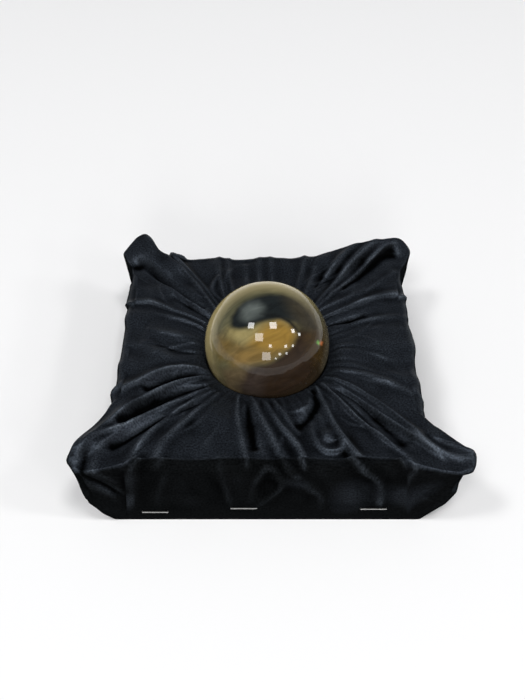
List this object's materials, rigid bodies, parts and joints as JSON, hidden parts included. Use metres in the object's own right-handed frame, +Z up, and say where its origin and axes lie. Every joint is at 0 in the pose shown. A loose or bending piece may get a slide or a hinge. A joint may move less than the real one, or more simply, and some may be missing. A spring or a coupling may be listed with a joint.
{
  "type": "display ball",
  "caption": "Polished translucent amber-brown ball sunk in a gathered black satin cover, on a square open-bottomed board box with puffed corner ears and stapled edges.",
  "frame": {"origin": "on the ball's upright axis, at the level of the surface that the box stands on", "axes": "+X to the right and +Y away from the viewer of the picture, along the box's sides; +Z up"},
  "size_m": [0.1895, 0.1722, 0.0781],
  "materials": {
    "ball_glass": "polished",
    "satin": "satin",
    "foam": "matte",
    "greyboard": "matte",
    "tape": "matte",
    "staple_steel": "gloss"
  },
  "bodies": {
    "base": {"satin_cover": "satin", "foam_pad": "foam", "top_board": "greyboard", "front_board": "greyboard", "right_board": "greyboard", "back_board": "greyboard", "left_board": "greyboard", "corner_tape_front_right": "tape", "corner_tape_back_right": "tape", "corner_tape_back_left": "tape", "corner_tape_front_left": "tape", "staple_front_left": "staple_steel", "staple_front_middle": "staple_steel", "staple_front_right": "staple_steel", "staple_right_left": "staple_steel", "staple_right_middle": "staple_steel", "staple_right_right": "staple_steel", "staple_back_left": "staple_steel", "staple_back_middle": "staple_steel", "staple_back_right": "staple_steel", "staple_left_left": "staple_steel", "staple_left_middle": "staple_steel", "staple_left_right": "staple_steel"},
    "ball": {"ball": "ball_glass"}
  },
  "joints": [
    {"name": "ball_lift", "type": "slide", "parent": "base", "child": "ball", "axis": [0, 0, 1], "range_m": [0, 0.08]}
  ]
}
